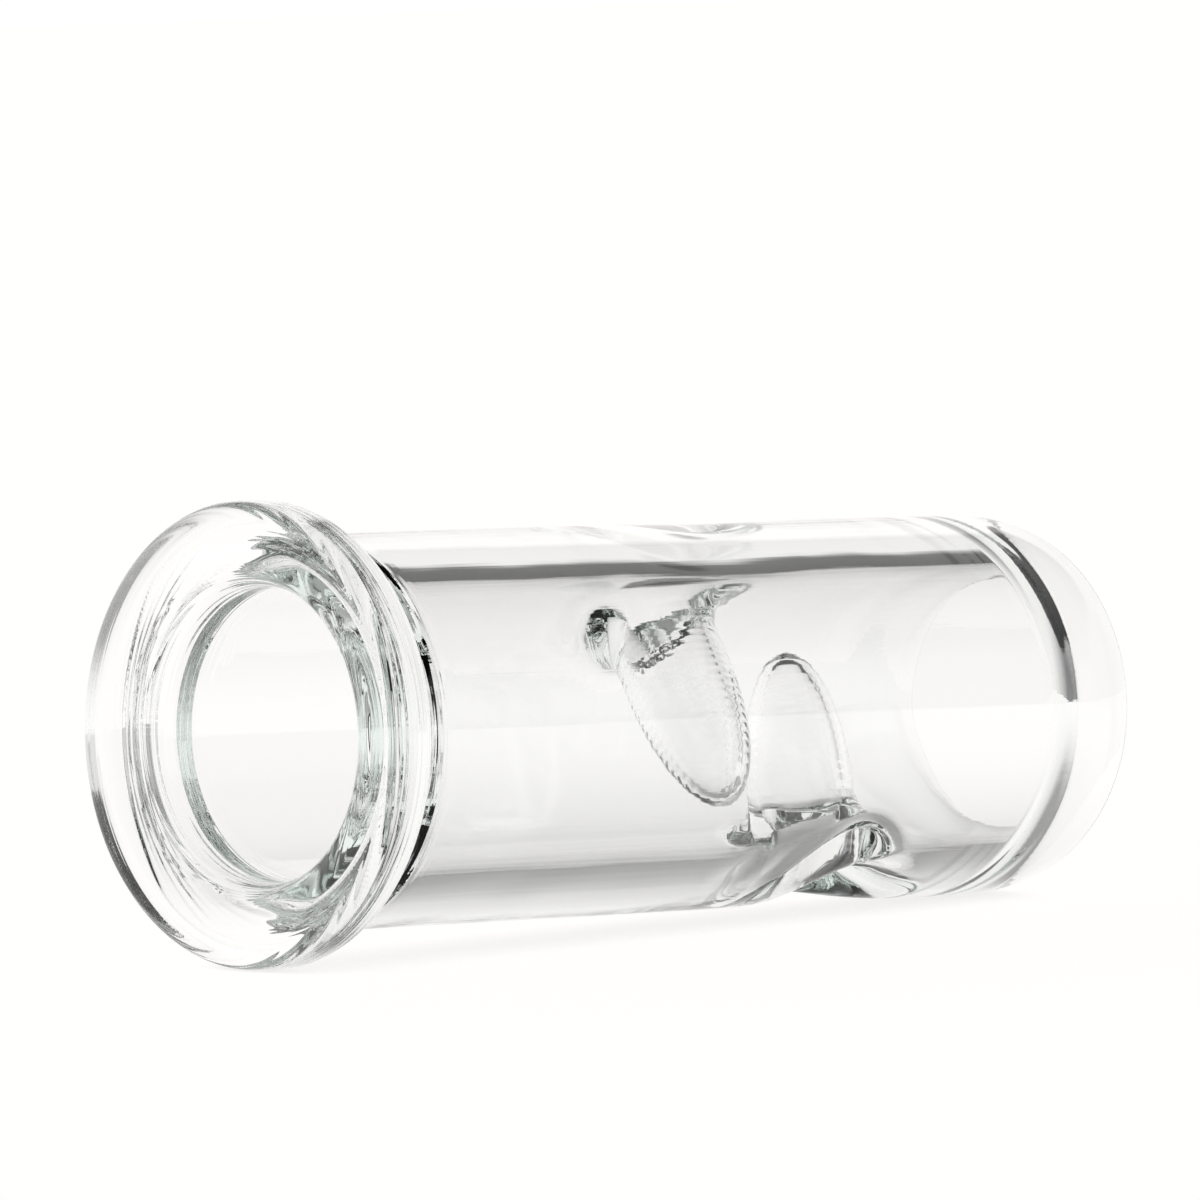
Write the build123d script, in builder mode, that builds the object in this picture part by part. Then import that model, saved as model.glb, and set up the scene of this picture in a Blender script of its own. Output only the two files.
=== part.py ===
"""Glass guitar slide: one heavy-wall tube with a flared lip, two deep dimples and a fire-polished tail.

Frame: +X runs along the bore from the lip to the tail, +Z is up, millimetres.
The origin is on the bore's axis where its straight wall begins, behind the rounded mouth.
The slide is one continuous piece of glass.  Each node below is one worked stretch of it,
and neighbours meet face to face with no gap.
"""
from build123d import *
from math import cos, sin, radians
import os

os.makedirs("parts", exist_ok=True)

# ---- driving dimensions (mm) ----
MOUTH_EDGE = 3.0           # rounding where the bore meets the lip face
FACE = -MOUTH_EDGE         # the lip's front face
LENGTH = 69.8              # lip face to tail end
TAIL_END = FACE + LENGTH
BARREL_R = 12.5            # outside radius of the tube
BORE_R = 9.3               # inside radius of the plain stretches

LIP_R = 14.7               # outside radius of the flared lip
LIP_BACK = 0.5             # the lip's flat back face
LIP_EDGE = 1.1             # rounding of the lip's two outer edges
NECK_R = 11.2              # waist just behind the lip
NECK_FLAT = 0.8            # straight stretch of the waist
NECK_END = 3.6             # where the waist is back at the full barrel radius
NECK_ROOT = 0.4            # fillet between the lip's back face and the waist

WORKED_FROM = 28.6         # stretch of the tube that was heated to push in both dimples
WORKED_TO = 54.6
WORKED_BORE_R = 9.05       # the bore draws in a little there
WORKED_EASE = 2.0          # length over which it draws in, at each end

TAIL_FROM = 58.6           # start of the fire-polished end
TAIL_CROWN_R = 10.3        # radius of the tail's farthest ring
TAIL_OUTER = 5.5           # length of the long outside rounding
TAIL_LIP_R = 8.2           # narrowest inside radius, where the flame drew the edge in
TAIL_INNER = 3.6           # length of the inside rounding, from the narrowest ring to the end
TAIL_DRAW = 4.4            # length over which the bore draws in to the narrowest ring

# Each dimple is a finger of glass pushed in through the wall, square to the bore.
# x: where its centre line meets the bore's; angle: where its mouth is, from the -Y side, up is
# +90 degrees; lean: how far its mouth leans towards the tail, in degrees;
# tip: how far its end reaches past the bore's centre line; wall: glass left at its sides.
DIMPLES = {
    "upper_dimple": {"x": 36.3, "angle": 124.0, "lean": 5.0, "tip": 6.6, "wall": 0.75},
    "lower_dimple": {"x": 45.2, "angle": -78.0, "lean": 3.0, "tip": 3.9, "wall": 0.75},
}
DIMPLE_R = 3.5             # outside radius of the finger where it is widest
DIMPLE_NOSE = 9.0          # length of its tapering, half-elliptical nose
ROOT_FLARE = 3.2           # rounding from the finger into the bore wall
MOUTH_FLARE = 3.7          # rounding from the barrel's outside into the finger
FLARE_BITE = 0.6           # each flare would level out this far past its wall, so it meets it at an angle
OUTSIDE = 4.0              # how far cutting shapes run past the barrel
QUARTER = 0.5523           # handle length that makes a Bezier curve a quarter of an ellipse


def dimple_plane(size):
    """Plane whose local Y points out of a dimple's mouth, and whose local X runs along the tube."""
    around, lean = radians(size["angle"]), radians(size["lean"])
    out = Vector(sin(lean), -cos(around) * cos(lean), sin(around) * cos(lean))
    along = Vector(cos(lean), cos(around) * sin(lean), -sin(around) * sin(lean))
    return Plane(origin=(size["x"], 0, 0), x_dir=along, z_dir=along.cross(out))


def finger(plane, radius, nose, tip, flare, wall_r):
    """Solid finger: half-elliptical nose, straight side, then a flare biting into the wall at wall_r."""
    widest = nose - tip
    flare_end = wall_r + FLARE_BITE
    flare_start = flare_end - flare
    with BuildPart(mode=Mode.PRIVATE) as shape:
        with BuildSketch(plane):
            with BuildLine():
                Bezier((0, -tip), (radius * QUARTER, -tip),
                       (radius, widest - nose * QUARTER), (radius, widest))
                Line((radius, widest), (radius, flare_start))
                CenterArc((radius + flare, flare_start), flare, 180, -90)
                Line((radius + flare, flare_end), (radius + flare, flare_end + OUTSIDE))
                Line((radius + flare, flare_end + OUTSIDE), (0, flare_end + OUTSIDE))
                Line((0, flare_end + OUTSIDE), (0, -tip))
            make_face()
        revolve(axis=Axis(plane.origin, plane.y_dir))
    return shape.part


def pocket_of(size):
    """The air inside a dimple, open to the outside of the barrel."""
    wall = size["wall"]
    return finger(dimple_plane(size), DIMPLE_R - wall, DIMPLE_NOSE - wall,
                  size["tip"] - wall, MOUTH_FLARE, BARREL_R)


def tube_between(start, end):
    """Plain stretch of the heavy-wall tube."""
    with BuildPart(mode=Mode.PRIVATE) as shape:
        with BuildSketch(Plane.YZ.offset(start)):
            Circle(BARREL_R)
            Circle(BORE_R, mode=Mode.SUBTRACT)
        extrude(amount=end - start)
    return shape.part


def worked_bore():
    """The air in the worked stretch: it eases from the plain bore to the drawn-in bore and back."""
    narrow_from = WORKED_FROM + WORKED_EASE
    narrow_to = WORKED_TO - WORKED_EASE
    with BuildPart(mode=Mode.PRIVATE) as shape:
        with BuildSketch(Plane.XY):
            with BuildLine():
                Spline((WORKED_FROM, BORE_R), (narrow_from, WORKED_BORE_R), tangents=[(1, 0), (1, 0)])
                Line((narrow_from, WORKED_BORE_R), (narrow_to, WORKED_BORE_R))
                Spline((narrow_to, WORKED_BORE_R), (WORKED_TO, BORE_R), tangents=[(1, 0), (1, 0)])
                Polyline((WORKED_TO, BORE_R), (WORKED_TO, 0), (WORKED_FROM, 0), (WORKED_FROM, BORE_R))
            make_face()
        revolve(axis=Axis.X)
    return shape.part


def save(part, name):
    """Label a finished piece and write its STEP file."""
    part.label = name
    export_step(part, f"parts/{name}.step")


# ---- flared lip: the thick collar, and the waist behind it ----
with BuildPart() as flared_lip:
    with BuildSketch(Plane.XY):
        with BuildLine():
            Polyline((LIP_BACK + NECK_FLAT, NECK_R), (LIP_BACK, NECK_R), (LIP_BACK, LIP_R), (FACE, LIP_R),
                     (FACE, BORE_R), (NECK_END, BORE_R), (NECK_END, BARREL_R))
            Spline((LIP_BACK + NECK_FLAT, NECK_R), (NECK_END, BARREL_R), tangents=[(1, 0), (1, 0.25)])
        make_face()
    revolve(axis=Axis.X)
    rim = flared_lip.edges().filter_by(GeomType.CIRCLE).filter_by(
        lambda edge: abs(edge.radius - LIP_R) < 0.01)
    fillet(rim, LIP_EDGE)
    root = flared_lip.edges().filter_by(GeomType.CIRCLE).filter_by(
        lambda edge: abs(edge.radius - NECK_R) < 0.01 and abs(edge.arc_center.X - LIP_BACK) < 0.01)
    fillet(root, NECK_ROOT)
    mouth = flared_lip.edges().filter_by(GeomType.CIRCLE).filter_by(
        lambda edge: abs(edge.radius - BORE_R) < 0.01 and abs(edge.arc_center.X - FACE) < 0.01)
    fillet(mouth, MOUTH_EDGE)
save(flared_lip.part, "flared_lip")

# ---- front barrel: the plain stretch that the finger sits in ----
with BuildPart() as front_barrel:
    add(tube_between(NECK_END, WORKED_FROM))
save(front_barrel.part, "front_barrel")

# ---- dented barrel: the stretch whose wall opens into the two dimples ----
with BuildPart() as dented_barrel:
    with BuildSketch(Plane.YZ.offset(WORKED_FROM)):
        Circle(BARREL_R)
    extrude(amount=WORKED_TO - WORKED_FROM)
    add(worked_bore(), mode=Mode.SUBTRACT)
    for dimple_size in DIMPLES.values():
        add(pocket_of(dimple_size), mode=Mode.SUBTRACT)
save(dented_barrel.part, "dented_barrel")

# ---- dimples: hollow fingers of glass that reach into the bore from its wall ----
for dimple_name, dimple_size in DIMPLES.items():
    with BuildPart() as dimple:
        add(finger(dimple_plane(dimple_size), DIMPLE_R, DIMPLE_NOSE,
                   dimple_size["tip"], ROOT_FLARE, WORKED_BORE_R))
        add(worked_bore(), mode=Mode.INTERSECT)
        add(pocket_of(dimple_size), mode=Mode.SUBTRACT)
    save(dimple.part, dimple_name)

# ---- rear barrel: the plain stretch between the dimples and the tail ----
with BuildPart() as rear_barrel:
    add(tube_between(WORKED_TO, TAIL_FROM))
save(rear_barrel.part, "rear_barrel")

# ---- tail rim: the fire-polished end, softened in the flame and drawn in a little ----
with BuildPart() as tail_rim:
    with BuildSketch(Plane.XY):
        with BuildLine():
            Spline((TAIL_END - TAIL_INNER - TAIL_DRAW, BORE_R), (TAIL_END - TAIL_INNER, TAIL_LIP_R),
                   tangents=[(1, 0), (1, 0)])
            EllipticalCenterArc((TAIL_END - TAIL_INNER, TAIL_CROWN_R), TAIL_INNER, TAIL_CROWN_R - TAIL_LIP_R,
                                start_angle=270, arc_size=90)
            EllipticalCenterArc((TAIL_END - TAIL_OUTER, TAIL_CROWN_R), TAIL_OUTER, BARREL_R - TAIL_CROWN_R,
                                start_angle=0, arc_size=90)
            Polyline((TAIL_END - TAIL_OUTER, BARREL_R), (TAIL_FROM, BARREL_R), (TAIL_FROM, BORE_R),
                     (TAIL_END - TAIL_INNER - TAIL_DRAW, BORE_R))
        make_face()
    revolve(axis=Axis.X)
save(tail_rim.part, "tail_rim")
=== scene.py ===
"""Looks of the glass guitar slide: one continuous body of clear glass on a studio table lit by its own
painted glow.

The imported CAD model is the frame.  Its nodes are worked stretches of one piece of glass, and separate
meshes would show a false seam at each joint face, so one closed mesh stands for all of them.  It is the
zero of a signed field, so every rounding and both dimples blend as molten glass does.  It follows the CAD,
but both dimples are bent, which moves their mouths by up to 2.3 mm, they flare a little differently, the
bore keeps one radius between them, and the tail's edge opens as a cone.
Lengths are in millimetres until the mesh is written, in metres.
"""
import math

import bpy
import numpy as np
from mathutils import Matrix, Vector


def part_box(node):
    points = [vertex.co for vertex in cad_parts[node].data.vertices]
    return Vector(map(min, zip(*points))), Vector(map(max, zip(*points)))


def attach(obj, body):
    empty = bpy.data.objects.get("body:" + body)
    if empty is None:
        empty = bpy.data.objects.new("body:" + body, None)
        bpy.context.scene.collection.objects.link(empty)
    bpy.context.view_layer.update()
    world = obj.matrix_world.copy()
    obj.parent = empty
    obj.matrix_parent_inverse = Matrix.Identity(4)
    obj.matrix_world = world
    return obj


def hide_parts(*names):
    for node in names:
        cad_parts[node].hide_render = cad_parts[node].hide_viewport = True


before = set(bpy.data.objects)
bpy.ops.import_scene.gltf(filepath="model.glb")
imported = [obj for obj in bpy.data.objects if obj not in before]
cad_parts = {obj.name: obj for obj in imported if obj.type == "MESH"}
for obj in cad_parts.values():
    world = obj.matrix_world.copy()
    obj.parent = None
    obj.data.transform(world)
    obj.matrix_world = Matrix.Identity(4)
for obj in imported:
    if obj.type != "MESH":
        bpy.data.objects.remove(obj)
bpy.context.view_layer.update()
scene = bpy.context.scene

MM = 0.001

# ---------------------------------------------------------------- sizes (mm)


def box_mm(node):
    low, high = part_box(node)
    return [v / MM for v in low], [v / MM for v in high]


# stations along the bore's axis, from the frame
FACE = box_mm("flared_lip")[0][0]             # front face of the lip
NECK_END = box_mm("flared_lip")[1][0]         # where the waist is back at the barrel's radius
WORKED_TO = box_mm("dented_barrel")[1][0]     # end of the heated stretch
TAIL_END = box_mm("tail_rim")[1][0]

BARREL_R, BORE_R = 12.5, 9.3

LIP_R, LIP_EDGE = 14.7, 1.1          # the lip and the rounding of its rim
LIP_BACK = 0.5                       # its back face
TUBE_FROM = FACE + 0.8               # the tube starts inside the lip
MOUTH_EDGE = 3.0                     # rounding where the bore opens through the lip
NECK_R, NECK_LENGTH = 11.2, 2.2      # the waist behind the lip, and the ease back to the barrel
NECK_ROOT = 0.5                      # fillet between waist and lip

TAIL_CROWN_R, TAIL_OUTER = 10.3, 5.5  # farthest ring, and the length of the rounding outside it
TAIL_LIP_R, TAIL_INNER = 8.2, 3.4    # the flame drew the edge inwards to this radius, this far inside
TAIL_DRAW = 4.4                      # length over which it did
TAIL_FLARE = math.radians(31)        # the edge then opens out at this angle
TAIL_EDGE = 0.45                     # rounding of the edges there

# Each dimple is a closed finger of glass.  x, angle and lean place its straight inner part, tip is how far
# its nose stays from the axis, and bend is how far it has moved aside where it meets the barrel.
DIMPLES = (
    dict(x=35.9, angle=128, lean=9, tip=6.6, radius=3.5, nose=9.0, wall=0.75, bend=(0.9, -2.2, 1.5)),
    dict(x=44.8, angle=-78, lean=-2, tip=3.9, radius=3.5, nose=9.0, wall=0.75, bend=(3.0, 0, 0)),
)
BEND_FROM = 5.0                      # height over the axis where the bend starts
MOUTH_FLARE, ROOT_FLARE = 4.2, 3.0   # rounding of a dimple into the outer wall and into the bore
SINK_OUTSIDE, SINK_INSIDE = 0.4, 0.5  # how far the finger dragged each face of the wall in
SINK_WIDTH, SINK_RISE = 5.5, 5.0     # reach of that round the finger, and the height where it is full
RIPPLE, RIPPLE_PITCH = 0.007, 0.62   # tool ripples down a pocket
RIPPLE_TOP, RIPPLE_FADE = 8.0, 3.0   # they die out at this height, over this length

FRONT_TO = 20.0                      # the front's field is used up to here, in the plain barrel
MIDDLE_TO = WORKED_TO + 2            # and the middle's up to here


# ---------------------------------------------------------------- the glass as a signed field


def smooth(t):
    t = np.clip(t, 0, 1)
    return t * t * (3 - 2 * t)


def both(a, b, k):
    """Inside a and inside b, with the edge between them rounded by k."""
    return np.minimum(-k, np.maximum(a, b)) + np.hypot(np.maximum(k + a, 0), np.maximum(k + b, 0))


def either(a, b, k):
    """Inside a or inside b, with the corner between them filled by k."""
    return np.maximum(k, np.minimum(a, b)) - np.hypot(np.maximum(k - a, 0), np.maximum(k - b, 0))


def oval(u, v, a, b):
    """Signed distance, near enough, to an ellipse with half-axes a and b."""
    k0 = np.hypot(u / a, v / b)
    k1 = np.hypot(u / a ** 2, v / b ** 2)
    return k0 * (k0 - 1) / np.maximum(k1, 1e-9)


def disc(x, r, x0, x1, radius, edge):
    """A disc across the tube between x0 and x1, its rim rounded by edge."""
    qx = np.abs(x - (x0 + x1) / 2) - (x1 - x0) / 2 + edge
    qr = r - radius + edge
    return np.hypot(np.maximum(qx, 0), np.maximum(qr, 0)) + np.minimum(np.maximum(qx, qr), 0) - edge


def finger(x, y, z, d, shrink):
    """A finger with a half-elliptical nose: its field, its drag on the wall and the height in it."""
    a, lean = math.radians(d["angle"]), math.radians(d["lean"])
    out = np.array((math.sin(lean), -math.cos(a) * math.cos(lean), math.sin(a) * math.cos(lean)))
    px = x - d["x"]
    t = px * out[0] + y * out[1] + z * out[2]
    bend = np.maximum((t - BEND_FROM) / (BARREL_R - BEND_FROM), 0) ** 2
    off = [p - t * o - bend * m for p, o, m in zip((px, y, z), out, d["bend"])]
    widest = d["nose"] - d["tip"]
    away = off[0] ** 2 + off[1] ** 2 + off[2] ** 2
    return (oval(np.minimum(t - widest, 0), np.sqrt(away), d["nose"] - shrink, d["radius"] - shrink),
            np.exp(-away / SINK_WIDTH ** 2) * smooth(t / SINK_RISE), t)


def glass(x, y, z):
    """Negative inside the glass."""
    r = np.hypot(y, z) + 1e-9
    # front: the lip, its waist and the mouth
    waist = r - BARREL_R + (BARREL_R - NECK_R) * smooth((NECK_END - x) / NECK_LENGTH)
    tube = np.maximum(waist, TUBE_FROM - x)
    front = np.maximum(either(tube, disc(x, r, FACE, LIP_BACK, LIP_R, LIP_EDGE), NECK_ROOT),
                       both(FACE - x, BORE_R - r, MOUTH_EDGE))
    # middle: outside less the pockets, bore less the fingers
    outside = r - BARREL_R
    hollow = r - BORE_R
    for d in DIMPLES:
        pocket, sunk, t = finger(x, y, z, d, d["wall"])
        ripple = RIPPLE * np.sin(t * (2 * math.pi / RIPPLE_PITCH)) * smooth((RIPPLE_TOP - t) / RIPPLE_FADE)
        pocket = pocket + ripple
        outside = both(outside + SINK_OUTSIDE * sunk, -pocket, MOUTH_FLARE)
        hollow = both(hollow + SINK_INSIDE * sunk, -finger(x, y, z, d, 0.0)[0], ROOT_FLARE)
    middle = np.maximum(outside, -hollow)
    # tail: a long outer rounding, and a bore that draws in and then opens out
    over = oval(np.maximum(x - TAIL_END + TAIL_OUTER, 0), r - TAIL_CROWN_R,
                TAIL_OUTER, BARREL_R - TAIL_CROWN_R)
    over = np.where(r > TAIL_CROWN_R, over, x - TAIL_END)
    narrow = BORE_R - (BORE_R - TAIL_LIP_R) * smooth((x - TAIL_END + TAIL_INNER + TAIL_DRAW) / TAIL_DRAW)
    opening = (x - TAIL_END + TAIL_INNER) * math.sin(TAIL_FLARE) - (r - TAIL_LIP_R) * math.cos(TAIL_FLARE)
    tail = both(over, both(narrow - r, opening, TAIL_EDGE), TAIL_EDGE)
    return np.where(x < FRONT_TO, front, np.where(x < MIDDLE_TO, middle, tail))


# ---------------------------------------------------------------- field to mesh


def stations(spans):
    """Grid planes through (start, end, step) spans that follow one another."""
    out = []
    for start, end, step in spans:
        out += list(np.linspace(start, end, max(1, round((end - start) / step)), endpoint=False))
    return np.array(out + [spans[-1][1]])


def surface(field, xs, ys, zs):
    """One quad mesh on the field's zero: a vertex in each cell it crosses, moved onto it exactly."""
    value = field(*np.meshgrid(xs, ys, zs, indexing="ij"))
    solid = value < 0
    n = [s - 1 for s in value.shape]
    count = sum(solid[i:n[0] + i, j:n[1] + j, k:n[2] + k].astype(np.int8)
                for i in (0, 1) for j in (0, 1) for k in (0, 1))
    crossed = (count > 0) & (count < 8)
    number = np.full(crossed.shape, -1, np.int64)
    number[crossed] = np.arange(crossed.sum())
    cell = np.array(np.nonzero(crossed))
    axes = (xs, ys, zs)
    total = np.zeros((cell.shape[1], 3))
    hits = np.zeros(cell.shape[1])
    for corner in np.ndindex(2, 2, 2):
        for axis in range(3):
            if corner[axis]:
                continue
            a = cell + np.array(corner)[:, None]
            b = a.copy()
            b[axis] += 1
            va, vb = value[tuple(a)], value[tuple(b)]
            cut = (va < 0) != (vb < 0)
            t = np.where(cut, va / np.where(cut, va - vb, 1), 0)
            pa = np.stack([axes[i][a[i]] for i in range(3)], 1)
            pb = np.stack([axes[i][b[i]] for i in range(3)], 1)
            total += np.where(cut[:, None], pa + (pb - pa) * t[:, None], 0)
            hits += cut
    points = total / hits[:, None]
    quads = []
    for axis in range(3):
        low = solid[tuple(slice(0, -1) if i == axis else slice(1, -1) for i in range(3))]
        high = solid[tuple(slice(1, None) if i == axis else slice(1, -1) for i in range(3))]
        edge = np.nonzero(low != high)
        node = [edge[i] if i == axis else edge[i] + 1 for i in range(3)]
        first, second = [i for i in range(3) if i != axis]
        ring = []
        for back in ((1, 1), (0, 1), (0, 0), (1, 0)):
            at = list(node)
            at[first] = at[first] - back[0]
            at[second] = at[second] - back[1]
            ring.append(number[tuple(at)])
        ring = np.stack(ring, 1)
        keep = low[edge] != (axis == 1)
        quads.append(np.where(keep[:, None], ring, ring[:, ::-1]))
    # Newton steps onto the zero; the slope where they end is the normal
    h = 1e-3
    for step in range(7):
        x, y, z = points.T
        slope = np.stack([field(x + h, y, z) - field(x - h, y, z), field(x, y + h, z) - field(x, y - h, z),
                          field(x, y, z + h) - field(x, y, z - h)], 1) / (2 * h)
        if step < 6:
            size = np.maximum((slope ** 2).sum(1), 0.05)
            points = points - slope * np.clip(field(x, y, z) / size, -0.3, 0.3)[:, None]
    return points, np.concatenate(quads), slope / np.linalg.norm(slope, axis=1)[:, None]


FINE, MARGIN = 0.25, 0.5             # cell where the shape is busy, and empty space past both ends
REACH = 15.3                         # just outside the lip
along = stations([(FACE - MARGIN, 4.8, 0.2), (4.8, 27.6, 0.8), (27.6, 30.6, 0.4), (30.6, 55.6, FINE),
                  (55.6, TAIL_END + MARGIN, FINE)])
across = np.arange(-REACH, REACH + 0.01, FINE)
points, quads, normals = surface(glass, along, across, across)

mesh = bpy.data.meshes.new("glass_body")
mesh.from_pydata((points * MM).tolist(), [], quads.tolist())
mesh.update()
mesh.polygons.foreach_set("use_smooth", [True] * len(mesh.polygons))
mesh.normals_split_custom_set_from_vertices(normals.tolist())
glass_body = bpy.data.objects.new("glass_body", mesh)
scene.collection.objects.link(glass_body)

# ---------------------------------------------------------------- materials


def new_material(name):
    material = bpy.data.materials.new(name)
    material.use_nodes = True
    return material, material.node_tree, material.node_tree.nodes["Principled BSDF"]


def set_stops(ramp, stops):
    """Give a colour ramp these (position, colour) stops, in rising order."""
    ramp.elements[0].position, ramp.elements[1].position = stops[0][0], stops[-1][0]
    ramp.elements[0].color, ramp.elements[1].color = (*stops[0][1], 1), (*stops[-1][1], 1)
    for position, colour in stops[1:-1]:
        ramp.elements.new(position).color = (*colour, 1)


clear, tree, shader = new_material("clear_glass")
shader.inputs["Base Color"].default_value = (1, 1, 1, 1)
shader.inputs["Roughness"].default_value = 0.0
shader.inputs["IOR"].default_value = 1.47
shader.inputs["Transmission Weight"].default_value = 1.0

# a trace of grey-green in the depth of the glass
volume = tree.nodes.new("ShaderNodeVolumeAbsorption")
volume.inputs["Color"].default_value = (0.60, 0.78, 0.71, 1)
volume.inputs["Density"].default_value = 6.0
tree.links.new(volume.outputs["Volume"], tree.nodes["Material Output"].inputs["Volume"])


def math_node(operation, *values):
    """One math node; each value is a socket or a plain number."""
    node = tree.nodes.new("ShaderNodeMath")
    node.operation = operation
    for socket, value in zip(node.inputs, values):
        if isinstance(value, (int, float)):
            socket.default_value = value
        else:
            tree.links.new(value, socket)
    return node.outputs[0]


def fade(value, low, high):
    """0 below low, 1 above high, smooth between."""
    node = tree.nodes.new("ShaderNodeMapRange")
    node.interpolation_type = "SMOOTHSTEP"
    node.inputs["From Min"].default_value, node.inputs["From Max"].default_value = low, high
    tree.links.new(value, node.inputs["Value"])
    return node.outputs["Result"]


def grain(x, y, z, detail):
    """Fine noise on coordinates that are stretched along the way the glass was worked."""
    place = tree.nodes.new("ShaderNodeCombineXYZ")
    for socket, value in zip(place.inputs, (x, y, z)):
        tree.links.new(value, socket)
    noise = tree.nodes.new("ShaderNodeTexNoise")
    noise.inputs["Scale"].default_value = 1.0
    noise.inputs["Detail"].default_value = detail
    noise.inputs["Roughness"].default_value = 0.45
    tree.links.new(place.outputs["Vector"], noise.inputs["Vector"])
    return noise.outputs["Fac"]


coords = tree.nodes.new("ShaderNodeTexCoord")
split = tree.nodes.new("ShaderNodeSeparateXYZ")
tree.links.new(coords.outputs["Object"], split.inputs["Vector"])
# place on the glass in millimetres: along the axis, across it, and its radius
gx, gy, gz = (math_node("DIVIDE", split.outputs[i], MM) for i in range(3))
gr = math_node("SQRT", math_node("ADD", math_node("MULTIPLY", gy, gy), math_node("MULTIPLY", gz, gz)))
around_y, around_z = math_node("DIVIDE", gy, gr), math_node("DIVIDE", gz, gr)

# ridges that run round the back of the lip and its waist, where the tool shaped them
ridges = grain(math_node("MULTIPLY", gx, 2.6), math_node("MULTIPLY", gr, 2.6),
               math_node("MULTIPLY", around_y, 0.9), 1.0)
at_lip = math_node("MULTIPLY", fade(gx, -2.8, -1.6), math_node("SUBTRACT", 1.0, fade(gx, 2.6, 4.6)))
# faint streaks along the tube from drawing it, and a slow unevenness
streaks = grain(math_node("MULTIPLY", gx, 0.035), math_node("MULTIPLY", around_y, 22.0),
                math_node("MULTIPLY", around_z, 22.0), 2.0)
swell = grain(math_node("MULTIPLY", gx, 0.12), math_node("MULTIPLY", gy, 0.16),
              math_node("MULTIPLY", gz, 0.16), 1.0)
RIDGE_HEIGHT, STREAK_HEIGHT, SWELL_HEIGHT = 0.12, 0.0035, 0.03       # millimetres
height = math_node("ADD", math_node("MULTIPLY", math_node("MULTIPLY", ridges, at_lip), RIDGE_HEIGHT),
                   math_node("ADD", math_node("MULTIPLY", streaks, STREAK_HEIGHT),
                             math_node("MULTIPLY", swell, SWELL_HEIGHT)))
bump = tree.nodes.new("ShaderNodeBump")
bump.inputs["Distance"].default_value = MM
tree.links.new(height, bump.inputs["Height"])
tree.links.new(bump.outputs["Normal"], shader.inputs["Normal"])
mesh.materials.append(clear)

# ---------------------------------------------------------------- floor

# a matt dark-grey sheet that glows: a painted sheen, brighter towards grazing angles, stands in for its
# light and for the white backdrop's reflection, and keeps the white backdrop
glowing_table, tree, shader = new_material("table_painted_glow")
shader.inputs["Base Color"].default_value = (0.15, 0.1475, 0.145, 1)
shader.inputs["Roughness"].default_value = 0.9
shader.inputs["Specular IOR Level"].default_value = 0.0
grazing = tree.nodes.new("ShaderNodeLayerWeight")
grazing.inputs["Blend"].default_value = 0.5
painted_sheen = tree.nodes.new("ShaderNodeValToRGB")
# painted sheen: how bright the glow is, by how grazing the view is
PAINTED_SHEEN = ((0.30, 0.34), (0.44, 0.56), (0.56, 0.80), (0.72, 0.93), (0.88, 0.98))
set_stops(painted_sheen.color_ramp, [(value, (bright, bright * 0.988, bright * 0.972)) for value, bright in PAINTED_SHEEN])
tree.links.new(grazing.outputs["Facing"], painted_sheen.inputs["Fac"])
# painted contact shadow: the glow dims a little where the glass stands close
occlusion = tree.nodes.new("ShaderNodeAmbientOcclusion")
occlusion.inputs["Distance"].default_value = 0.03
occlusion.samples = 8
painted_contact_shadow = tree.nodes.new("ShaderNodeMapRange")
painted_contact_shadow.inputs["From Max"].default_value = 0.25
painted_contact_shadow.inputs["To Min"].default_value = 0.85
tree.links.new(occlusion.outputs["AO"], painted_contact_shadow.inputs["Value"])
# the painted sheen is the colour of the table's glow
tree.links.new(painted_sheen.outputs["Color"], shader.inputs["Emission Color"])
tree.links.new(painted_contact_shadow.outputs["Result"], shader.inputs["Emission Strength"])

# The slide lies on its lip and on the end of its barrel, so the table slopes against the axis.
TABLE_HALF = 3.0                     # metres
TABLE_GAP = 1e-5                     # metres
LIP_REST, TAIL_REST = -1.2, TAIL_END - TAIL_OUTER
tilt = (LIP_R - BARREL_R) / (TAIL_REST - LIP_REST)


def table_z(x):
    return (-LIP_R + (x / MM - LIP_REST) * tilt) * MM - TABLE_GAP


corners = [(i * TABLE_HALF, j * TABLE_HALF) for i, j in ((-1, -1), (1, -1), (1, 1), (-1, 1))]
table_mesh = bpy.data.meshes.new("table_top")
table_mesh.from_pydata([(x, y, table_z(x)) for x, y in corners], [], [(0, 1, 2, 3)])
table_mesh.materials.append(glowing_table)
table_top = bpy.data.objects.new("table_top", table_mesh)
scene.collection.objects.link(table_top)

# ---------------------------------------------------------------- studio light

AZIMUTH, ELEVATION = math.radians(45.5224), math.radians(2.00555)    # of the camera's line of sight

world = bpy.data.worlds.new("studio")
scene.world = world
world.use_nodes = True
tree = world.node_tree
background = tree.nodes["Background"]
sky = tree.nodes.new("ShaderNodeTexCoord")


def along_direction(direction, stops):
    """Brightness that runs through stops as a look direction turns towards the given one."""
    dot = tree.nodes.new("ShaderNodeVectorMath")
    dot.operation = "DOT_PRODUCT"
    dot.inputs[1].default_value = direction
    shift = tree.nodes.new("ShaderNodeMapRange")
    shift.inputs["From Min"].default_value = -1.0
    ramp = tree.nodes.new("ShaderNodeValToRGB")
    tree.links.new(sky.outputs["Generated"], dot.inputs[0])
    tree.links.new(dot.outputs["Value"], shift.inputs["Value"])
    tree.links.new(shift.outputs["Result"], ramp.inputs["Fac"])
    set_stops(ramp.color_ramp, [((value + 1) / 2, colour) for value, colour in stops])
    return ramp.outputs["Color"]


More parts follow.
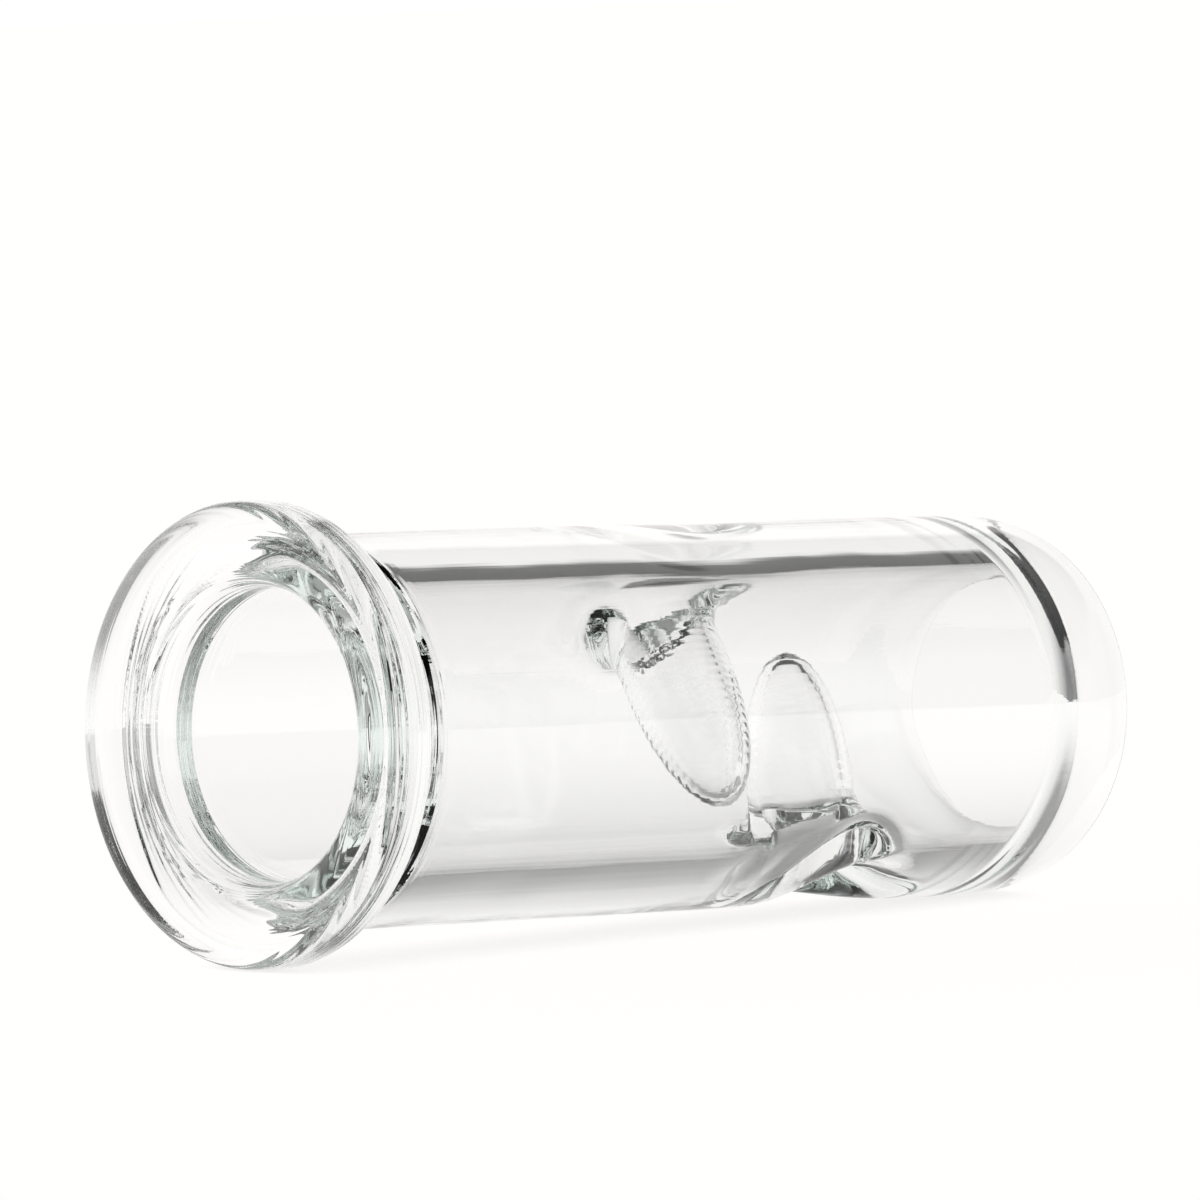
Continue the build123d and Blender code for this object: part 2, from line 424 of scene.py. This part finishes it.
# walls that are brightest behind the glass and a little to the left, darkest at the sides, and a dark
# ceiling, which the glass turns into its dark lines
brightest = AZIMUTH + math.radians(25)
backdrop = along_direction((math.cos(brightest), math.sin(brightest), 0),
                           ((-0.95, (0.74, 0.735, 0.73)), (-0.6, (0.46, 0.46, 0.46)),
                            (-0.25, (0.20, 0.20, 0.20)), (0.1, (0.50, 0.50, 0.495)),
                            (0.4, (0.86, 0.85, 0.84)), (0.85, (1.0, 0.982, 0.965))))
overhead = along_direction((0, -0.08, 1), ((0.47, (1, 1, 1)), (0.52, (0.12, 0.12, 0.12)),
                                           (0.8, (0.07, 0.07, 0.07))))
product = tree.nodes.new("ShaderNodeMix")
product.data_type, product.blend_type = "RGBA", "MULTIPLY"
product.inputs["Factor"].default_value = 1.0
tree.links.new(backdrop, product.inputs["A"])
tree.links.new(overhead, product.inputs["B"])
tree.links.new(product.outputs["Result"], background.inputs["Color"])
background.inputs["Strength"].default_value = 1.06

# ---------------------------------------------------------------- camera: the photograph's viewing angle

SENSOR, LENS = 36.0, 391.8           # a long lens (mm)
AXIS_START = (-3.9, 0.0, 0.0)        # point on the axis that the framing is set from (mm)
DISTANCE = 814.2754                  # from the camera to the plane of that point (mm)
START_IN_VIEW = (-23.37, -8.512)     # its place right of and above the view's centre (mm)

forward = Vector((math.cos(ELEVATION) * math.cos(AZIMUTH), math.cos(ELEVATION) * math.sin(AZIMUTH),
                  -math.sin(ELEVATION)))
right = Vector((math.sin(AZIMUTH), -math.cos(AZIMUTH), 0))
up = right.cross(forward)
place = (Vector(AXIS_START) - right * START_IN_VIEW[0] - up * START_IN_VIEW[1] - forward * DISTANCE) * MM
camera_data = bpy.data.cameras.new("camera")
camera_data.sensor_width, camera_data.lens = SENSOR, LENS
camera_data.clip_end = 100
camera = bpy.data.objects.new("camera", camera_data)
camera.matrix_world = Matrix((
    (right.x, up.x, -forward.x, place.x), (right.y, up.y, -forward.y, place.y),
    (right.z, up.z, -forward.z, place.z), (0, 0, 0, 1)))
scene.collection.objects.link(camera)
scene.camera = camera

scene.view_settings.view_transform = "Standard"
# enough bounces for light to cross both walls and both dimples
scene.cycles.max_bounces = 24
scene.cycles.transmission_bounces = 24
scene.cycles.glossy_bounces = 16
scene.cycles.transparent_max_bounces = 16
scene.cycles.use_denoising = True

# ---------------------------------------------------------------- hand over

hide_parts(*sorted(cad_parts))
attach(glass_body, "root")
